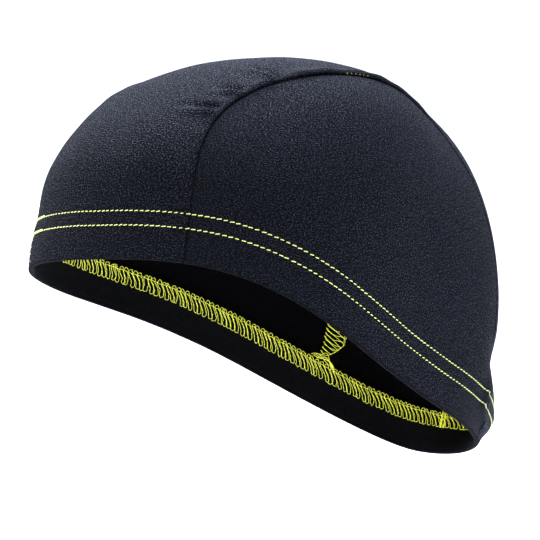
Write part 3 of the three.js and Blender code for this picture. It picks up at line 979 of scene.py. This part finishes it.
def needle_row(name, arc, start):
    lengths = row_run(arc)
    total = lengths[-1]
    count = round(total / STITCH_PITCH)
    pitch = total / count
    first = np.interp(start, ROW_DIRECTIONS, lengths)
    paths = []
    for k in range(count + TACK_STITCHES):
        doubled = k >= count
        begin = first + (k + (TACK_SHIFT if doubled else 0)) * pitch + rng.normal(0, 0.08)
        length = STITCH_LENGTH * (1 + rng.normal(0, 0.05))
        run = np.mod(begin + STITCH_SHAPE * length, total)
        around = np.interp(run, lengths, ROW_DIRECTIONS)
        tilt = STITCH_TILT + rng.normal(0, 0.06)
        raised = TACK_RISE if doubled else 0
        arcs = arc + tilt * (STITCH_SHAPE - 0.5) * 2 + raised
        paths.append(on_face(around, arcs, STITCH_RISE + raised))
    return thread_piece(name, paths, NEEDLE_THREAD, needle_thread, sides=8)


# One stitch of the coverstitch's looper thread. It swings over the upper needle row, comes down
# to the lower row, hooks back under it and climbs again. Each row of the table is a place along
# the hem in pitches, before the strands lean, and across from the lower row to the upper one
LOOPER_UNIT = np.array((
    (0.02, 0.90), (0.12, 1.06), (0.36, 1.15), (0.64, 1.14), (0.86, 1.03), (0.93, 0.88), (0.84, 0.70),
    (0.78, 0.50), (0.84, 0.30), (0.96, 0.12), (1.00, -0.02), (0.86, -0.12), (0.58, -0.15),
    (0.30, -0.08), (0.22, 0.06), (0.16, 0.24), (0.02, 0.42), (-0.04, 0.60), (0.02, 0.78),
    (0.22, 0.90), (0.52, 0.93), (0.84, 0.90),
))
LOOPER_RISE = 0.12 + 0.16 * np.abs(np.sin(np.arange(len(LOOPER_UNIT)) * 0.9))
LOOPER_LEAN = 1.75                # pitches by which the upper row's end of a strand runs ahead
STITCHES_IN_A_PATH = 12


def leaning(share, lean):
    """How far ahead a strand lies at a share of its height, easing off at both edges."""
    return lean * (smooth_step(share, -0.1, 1.1) - 0.5)


def looper_ladder():
    low, high = NEEDLE_ROWS
    lengths = row_run(MIDDLE_ROW)
    total = lengths[-1]
    count = round(total / STITCH_PITCH)
    pitch = total / count
    paths = []
    for start in range(0, count, STITCHES_IN_A_PATH):
        run, share = [], []
        for k in range(start, min(start + STITCHES_IN_A_PATH, count)):
            shape = LOOPER_UNIT + rng.normal(0, (0.055, 0.03), LOOPER_UNIT.shape) + (rng.normal(0, 0.12), 0)
            run.append((k + shape[:, 0] + leaning(shape[:, 1], LOOPER_LEAN + rng.normal(0, 0.25))) * pitch)
            share.append(shape[:, 1])
        run, share = np.concatenate(run), np.concatenate(share)
        rise = np.resize(LOOPER_RISE, run.shape) + LOOPER_THREAD
        around = np.interp(np.mod(run, total), lengths, ROW_DIRECTIONS)
        paths.append(on_facing(around, low + (high - low) * share, rise))
    return thread_piece("hem_looper_ladder", paths, LOOPER_THREAD, looper_thread)


# One stitch of the seam's overlock: along the seam in pitches, before the strands lean, and across
# the strip as a share, from its edge under the side panel. A strand crosses over, runs on along
# the far edge, and comes back to join the next strand halfway
OVERLOCK_UNIT = np.array((
    (0.00, 0.04), (0.00, 0.25), (0.00, 0.50), (0.00, 0.75), (0.02, 0.95), (0.25, 1.04),
    (0.60, 1.07), (0.92, 1.03), (0.60, 1.00), (0.20, 0.99), (0.00, 0.93), (0.16, 0.80),
    (0.48, 0.66), (0.80, 0.54), (0.92, 0.42), (0.94, 0.22), (0.90, 0.04), (0.74, -0.05),
    (0.66, 0.02), (0.82, 0.08),
))
OVERLOCK_PITCH = 1.85
OVERLOCK_LEAN = 2.0               # pitches by which the center panel's end of a strand runs ahead
OVERLOCK_CLOSE = (1.2, 5.6)       # mm short of the strip's end, under the side panel and more across


def overlock_ladder(side):
    start, end = seam_ends(side)
    run = SEAM_RUN[side]
    close, more = OVERLOCK_CLOSE
    count = int(((end - start) * run - close) / OVERLOCK_PITCH)
    paths = []
    for first in range(0, count, STITCHES_IN_A_PATH):
        along, share = [], []
        for k in range(first, min(first + STITCHES_IN_A_PATH, count)):
            shape = OVERLOCK_UNIT + rng.normal(0, (0.05, 0.02), OVERLOCK_UNIT.shape)
            lean = OVERLOCK_LEAN + rng.normal(0, 0.15)
            ahead = k + 1 + shape[:, 0] + lean * (shape[:, 1] - 0.5)
            along.append(start + ahead * OVERLOCK_PITCH / run)
            share.append(shape[:, 1])
        along, share = np.concatenate(along), np.concatenate(share)
        along = np.minimum(along, end - (close + more * share ** 2) / run)
        distance = ALLOWANCE_WIDTH * share - ALLOWANCE_LEAN
        depth = PLY_THICKNESS + LAYER_GAP + ALLOWANCE_THICKNESS + LOOPER_THREAD + 0.1
        paths.append(strip_point(along, side, distance, depth))
    return thread_piece(f"{SIDES[side]}_overlock_ladder", paths, LOOPER_THREAD, looper_thread)


# Where the overlock runs into the hem, its ends lie caught along the ladder's upper edge
TAIL_AROUND = SEAM_NAPE - 0.04
TAIL_STRANDS = 6
TAIL_REACH = (9, 5)               # mm along the hem, away from the nape and towards it


def seam_tail(side):
    lengths = row_run(MIDDLE_ROW)
    low, high = NEEDLE_ROWS
    middle = np.interp(np.mod(side * TAIL_AROUND, FULL_TURN), ROW_DIRECTIONS, lengths)
    paths = []
    for k in range(TAIL_STRANDS):
        f = np.linspace(0, 1, 14)
        back, ahead = (reach * rng.uniform(0.5, 1) for reach in TAIL_REACH)
        run = middle - side * (back - (back + ahead) * f)
        lift = 0.6 * np.sin(math.pi * f) * rng.uniform(0.1, 1)
        share = 1.3 + lift + 0.1 * np.sin(7 * f + k) - 0.25 * f
        around = np.interp(run, lengths, ROW_DIRECTIONS)
        rise = 0.3 + 0.5 * np.sin(math.pi * f) * rng.uniform(0.3, 1) + LOOPER_THREAD
        paths.append(on_facing(around, low + (high - low) * share, rise))
    return thread_piece(f"{SIDES[side]}_seam_tail", paths, BUNCHED_THREAD, looper_thread)


# Where the coverstitch starts and ends at the middle of the nape, its threads lie bunched
BAR_AROUND = math.radians(179.5)
BAR_STRANDS = 9
BAR_WIDTH = 2.2


def looper_bar():
    low, high = NEEDLE_ROWS
    lengths = row_run(MIDDLE_ROW)
    middle = np.interp(BAR_AROUND, ROW_DIRECTIONS, lengths)
    paths = []
    for k in range(BAR_STRANDS):
        f = np.linspace(0, 1, 12)
        top = rng.uniform(1.1, 1.75)
        share = -0.22 + (top + 0.22) * f
        offset = BAR_WIDTH * (rng.uniform(-0.5, 0.5) + 0.14 * np.sin(5 * f + k))
        run = middle + offset + leaning(share, 0.9)
        rise = 0.35 + rng.uniform(0, 0.75) * np.sin(math.pi * f) + LOOPER_THREAD
        around = np.interp(run, lengths, ROW_DIRECTIONS)
        paths.append(on_facing(around, low + (high - low) * share, rise))
    return thread_piece("looper_bar", paths, BUNCHED_THREAD, looper_thread)


# Seam stitches that show as dots where the seam is stretched open, by their place along it
SEAM_DOTS = ((LEFT, 0.386, 0.428), (RIGHT, 0.004, 0.064))
DOT_PITCH = 2.3
DOT_DISTANCE = 0.25               # how far they lie in from the seam
DOT_THREAD = 0.11


def seam_dots(side, start, end):
    run = SEAM_RUN[side]
    paths = []
    for along in np.arange(start, end, DOT_PITCH / run):
        slant = np.array((-0.35, -0.12, 0.12, 0.35))
        place = along + slant / run + rng.normal(0, 0.1) / run
        point, normal = center_surface(place, side, np.full(4, DOT_DISTANCE))
        across = away_from_seam(place, side) * (slant + 0.25)[:, None]
        paths.append(point + across + normal * np.array((-0.3, 0.08, 0.08, -0.3))[:, None])
    return thread_piece(f"{SIDES[side]}_seam_dots", paths, DOT_THREAD, needle_thread)


center_panel = center_panel_cloth()
left_side = side_panel_cloth(LEFT)
right_side = side_panel_cloth(RIGHT)
facing = hem_facing_cloth()
for allowance_side in SIDES:
    seam_allowance(allowance_side)
stitches = [
    needle_row("lower_needle_row", NEEDLE_ROWS[0], TACK_AROUND),
    needle_row("upper_needle_row", NEEDLE_ROWS[1], TACK_AROUND),
    looper_ladder(),
    looper_bar(),
    *(overlock_ladder(side) for side in SIDES),
    *(seam_tail(side) for side in SIDES),
    *(seam_dots(*place) for place in SEAM_DOTS),
]

# The stage: a pale seamless sweep, floor below and wall behind in one

SWEEP_FLOOR = -0.32
SWEEP_FRONT = -2.0
SWEEP_DEPTH = 2.2
SWEEP_RADIUS = 0.9
SWEEP_HEIGHT = 3.0
SWEEP_WIDTH = 6.0
CAP_MIDDLE = -0.08                  # height at which the lights look
CAMERA_AZIMUTH = math.radians(50.67)
CAMERA_ELEVATION = math.radians(4.13)
CAMERA_DISTANCE = 0.9
CAMERA_LENS = 148.0
CAMERA_OFFSET = (-18.72, -6.75)     # mm to the right of the cap's middle, and above it
AIM_HEIGHT = 45                     # mm from the hem plane to the cap's middle


def painted_sweep_material():
    """Matt white paint on a studio sweep: even and pale, with the faint mottle of a roller."""
    material, tree = new_material("matt_white_sweep_paint")
    where = add_node(tree, "ShaderNodeTexCoord")
    mottle = add_node(
        tree, "ShaderNodeTexNoise", {"Vector": where.outputs["Object"], "Scale": 30, "Detail": 2},
    )
    colour = add_node(
        tree, "ShaderNodeMix",
        {"Factor": mottle.outputs["Fac"], "A": linear("#f3f3f3"), "B": linear("#f7f7f7")}, data_type="RGBA",
    )
    shader = add_node(
        tree, "ShaderNodeBsdfPrincipled",
        {"Base Color": colour.outputs[2], "Roughness": 0.95, "Specular IOR Level": 0.1},
    )
    add_node(tree, "ShaderNodeOutputMaterial", {"Surface": shader.outputs["BSDF"]})
    return material


def camera_axes():
    azimuth, elevation = CAMERA_AZIMUTH, CAMERA_ELEVATION
    right = Vector((math.cos(azimuth), math.sin(azimuth), 0))
    level = Vector((math.sin(azimuth), -math.cos(azimuth), 0))
    back = level * math.cos(elevation) + Vector((0, 0, math.sin(elevation)))
    return right, back.cross(right), back


def add_sweep():
    """The sweep's profile runs from in front of the camera's foot back under the cap and up."""
    right, _, back = camera_axes()
    back = Vector((back.x, back.y, 0)).normalized()
    profile = [(SWEEP_FRONT, SWEEP_FLOOR), (SWEEP_DEPTH - SWEEP_RADIUS, SWEEP_FLOOR)]
    for angle in np.radians(np.arange(6, 91, 6)):
        away = SWEEP_DEPTH - SWEEP_RADIUS + SWEEP_RADIUS * math.sin(angle)
        profile.append((away, SWEEP_FLOOR + SWEEP_RADIUS * (1 - math.cos(angle))))
    profile.append((SWEEP_DEPTH, SWEEP_FLOOR + SWEEP_HEIGHT))
    points, faces = [], []
    for away, height in profile:
        for side in (-1, 1):
            points.append(right * side * SWEEP_WIDTH / 2 - back * away + Vector((0, 0, height)))
    for i in range(len(profile) - 1):
        faces.append((2 * i, 2 * i + 1, 2 * i + 3, 2 * i + 2))
    smooth_mesh("studio_sweep", points, faces, (painted_sweep_material(),))


def add_camera():
    right, up, back = camera_axes()
    aim = Vector(worn(np.array((0, 0, AIM_HEIGHT))))
    aim += (right * CAMERA_OFFSET[0] + up * CAMERA_OFFSET[1]) * MILLIMETRE
    data = bpy.data.cameras.new("camera")
    data.lens = CAMERA_LENS
    data.sensor_width = 36
    data.clip_end = 20
    camera = bpy.data.objects.new("camera", data)
    camera.location = aim + back * CAMERA_DISTANCE
    camera.rotation_euler = back.to_track_quat("Z", "Y").to_euler()
    bpy.context.scene.collection.objects.link(camera)
    bpy.context.scene.camera = camera


def add_light(name, direction, distance, size, power, colour):
    """A soft square light that looks at the cap from a direction in the camera's own axes."""
    right, up, back = camera_axes()
    toward = (right * direction[0] + Vector((0, 0, 1)) * direction[1] + back * direction[2]).normalized()
    data = bpy.data.lights.new(name, "AREA")
    data.shape = "SQUARE"
    data.size = size
    data.energy = power
    data.color = linear(colour)[:3]
    light = bpy.data.objects.new(name, data)
    light.location = toward * distance + Vector((0, 0, CAP_MIDDLE))
    light.rotation_euler = toward.to_track_quat("Z", "Y").to_euler()
    bpy.context.scene.collection.objects.link(light)


def add_world():
    world = bpy.data.worlds.new("studio_air")
    world.use_nodes = True
    tree = world.node_tree
    tree.nodes.clear()
    air = add_node(tree, "ShaderNodeBackground", {"Color": linear("#f8f8fa"), "Strength": 0.7})
    add_node(tree, "ShaderNodeOutputWorld", {"Surface": air.outputs["Background"]})
    bpy.context.scene.world = world


add_sweep()
add_camera()
add_light("overhead_softbox", (0, 0.88, -0.44), 1.3, 1.0, 96, "#dfe7ff")
add_light("left_softbox", (-0.65, 0.45, -0.7), 1.6, 0.7, 13, "#f2f5ff")
add_light("right_softbox", (0.8, 0.05, 0.55), 1.6, 0.7, 7, "#d2dcff")
add_world()
bpy.context.scene.view_settings.view_transform = "Standard"
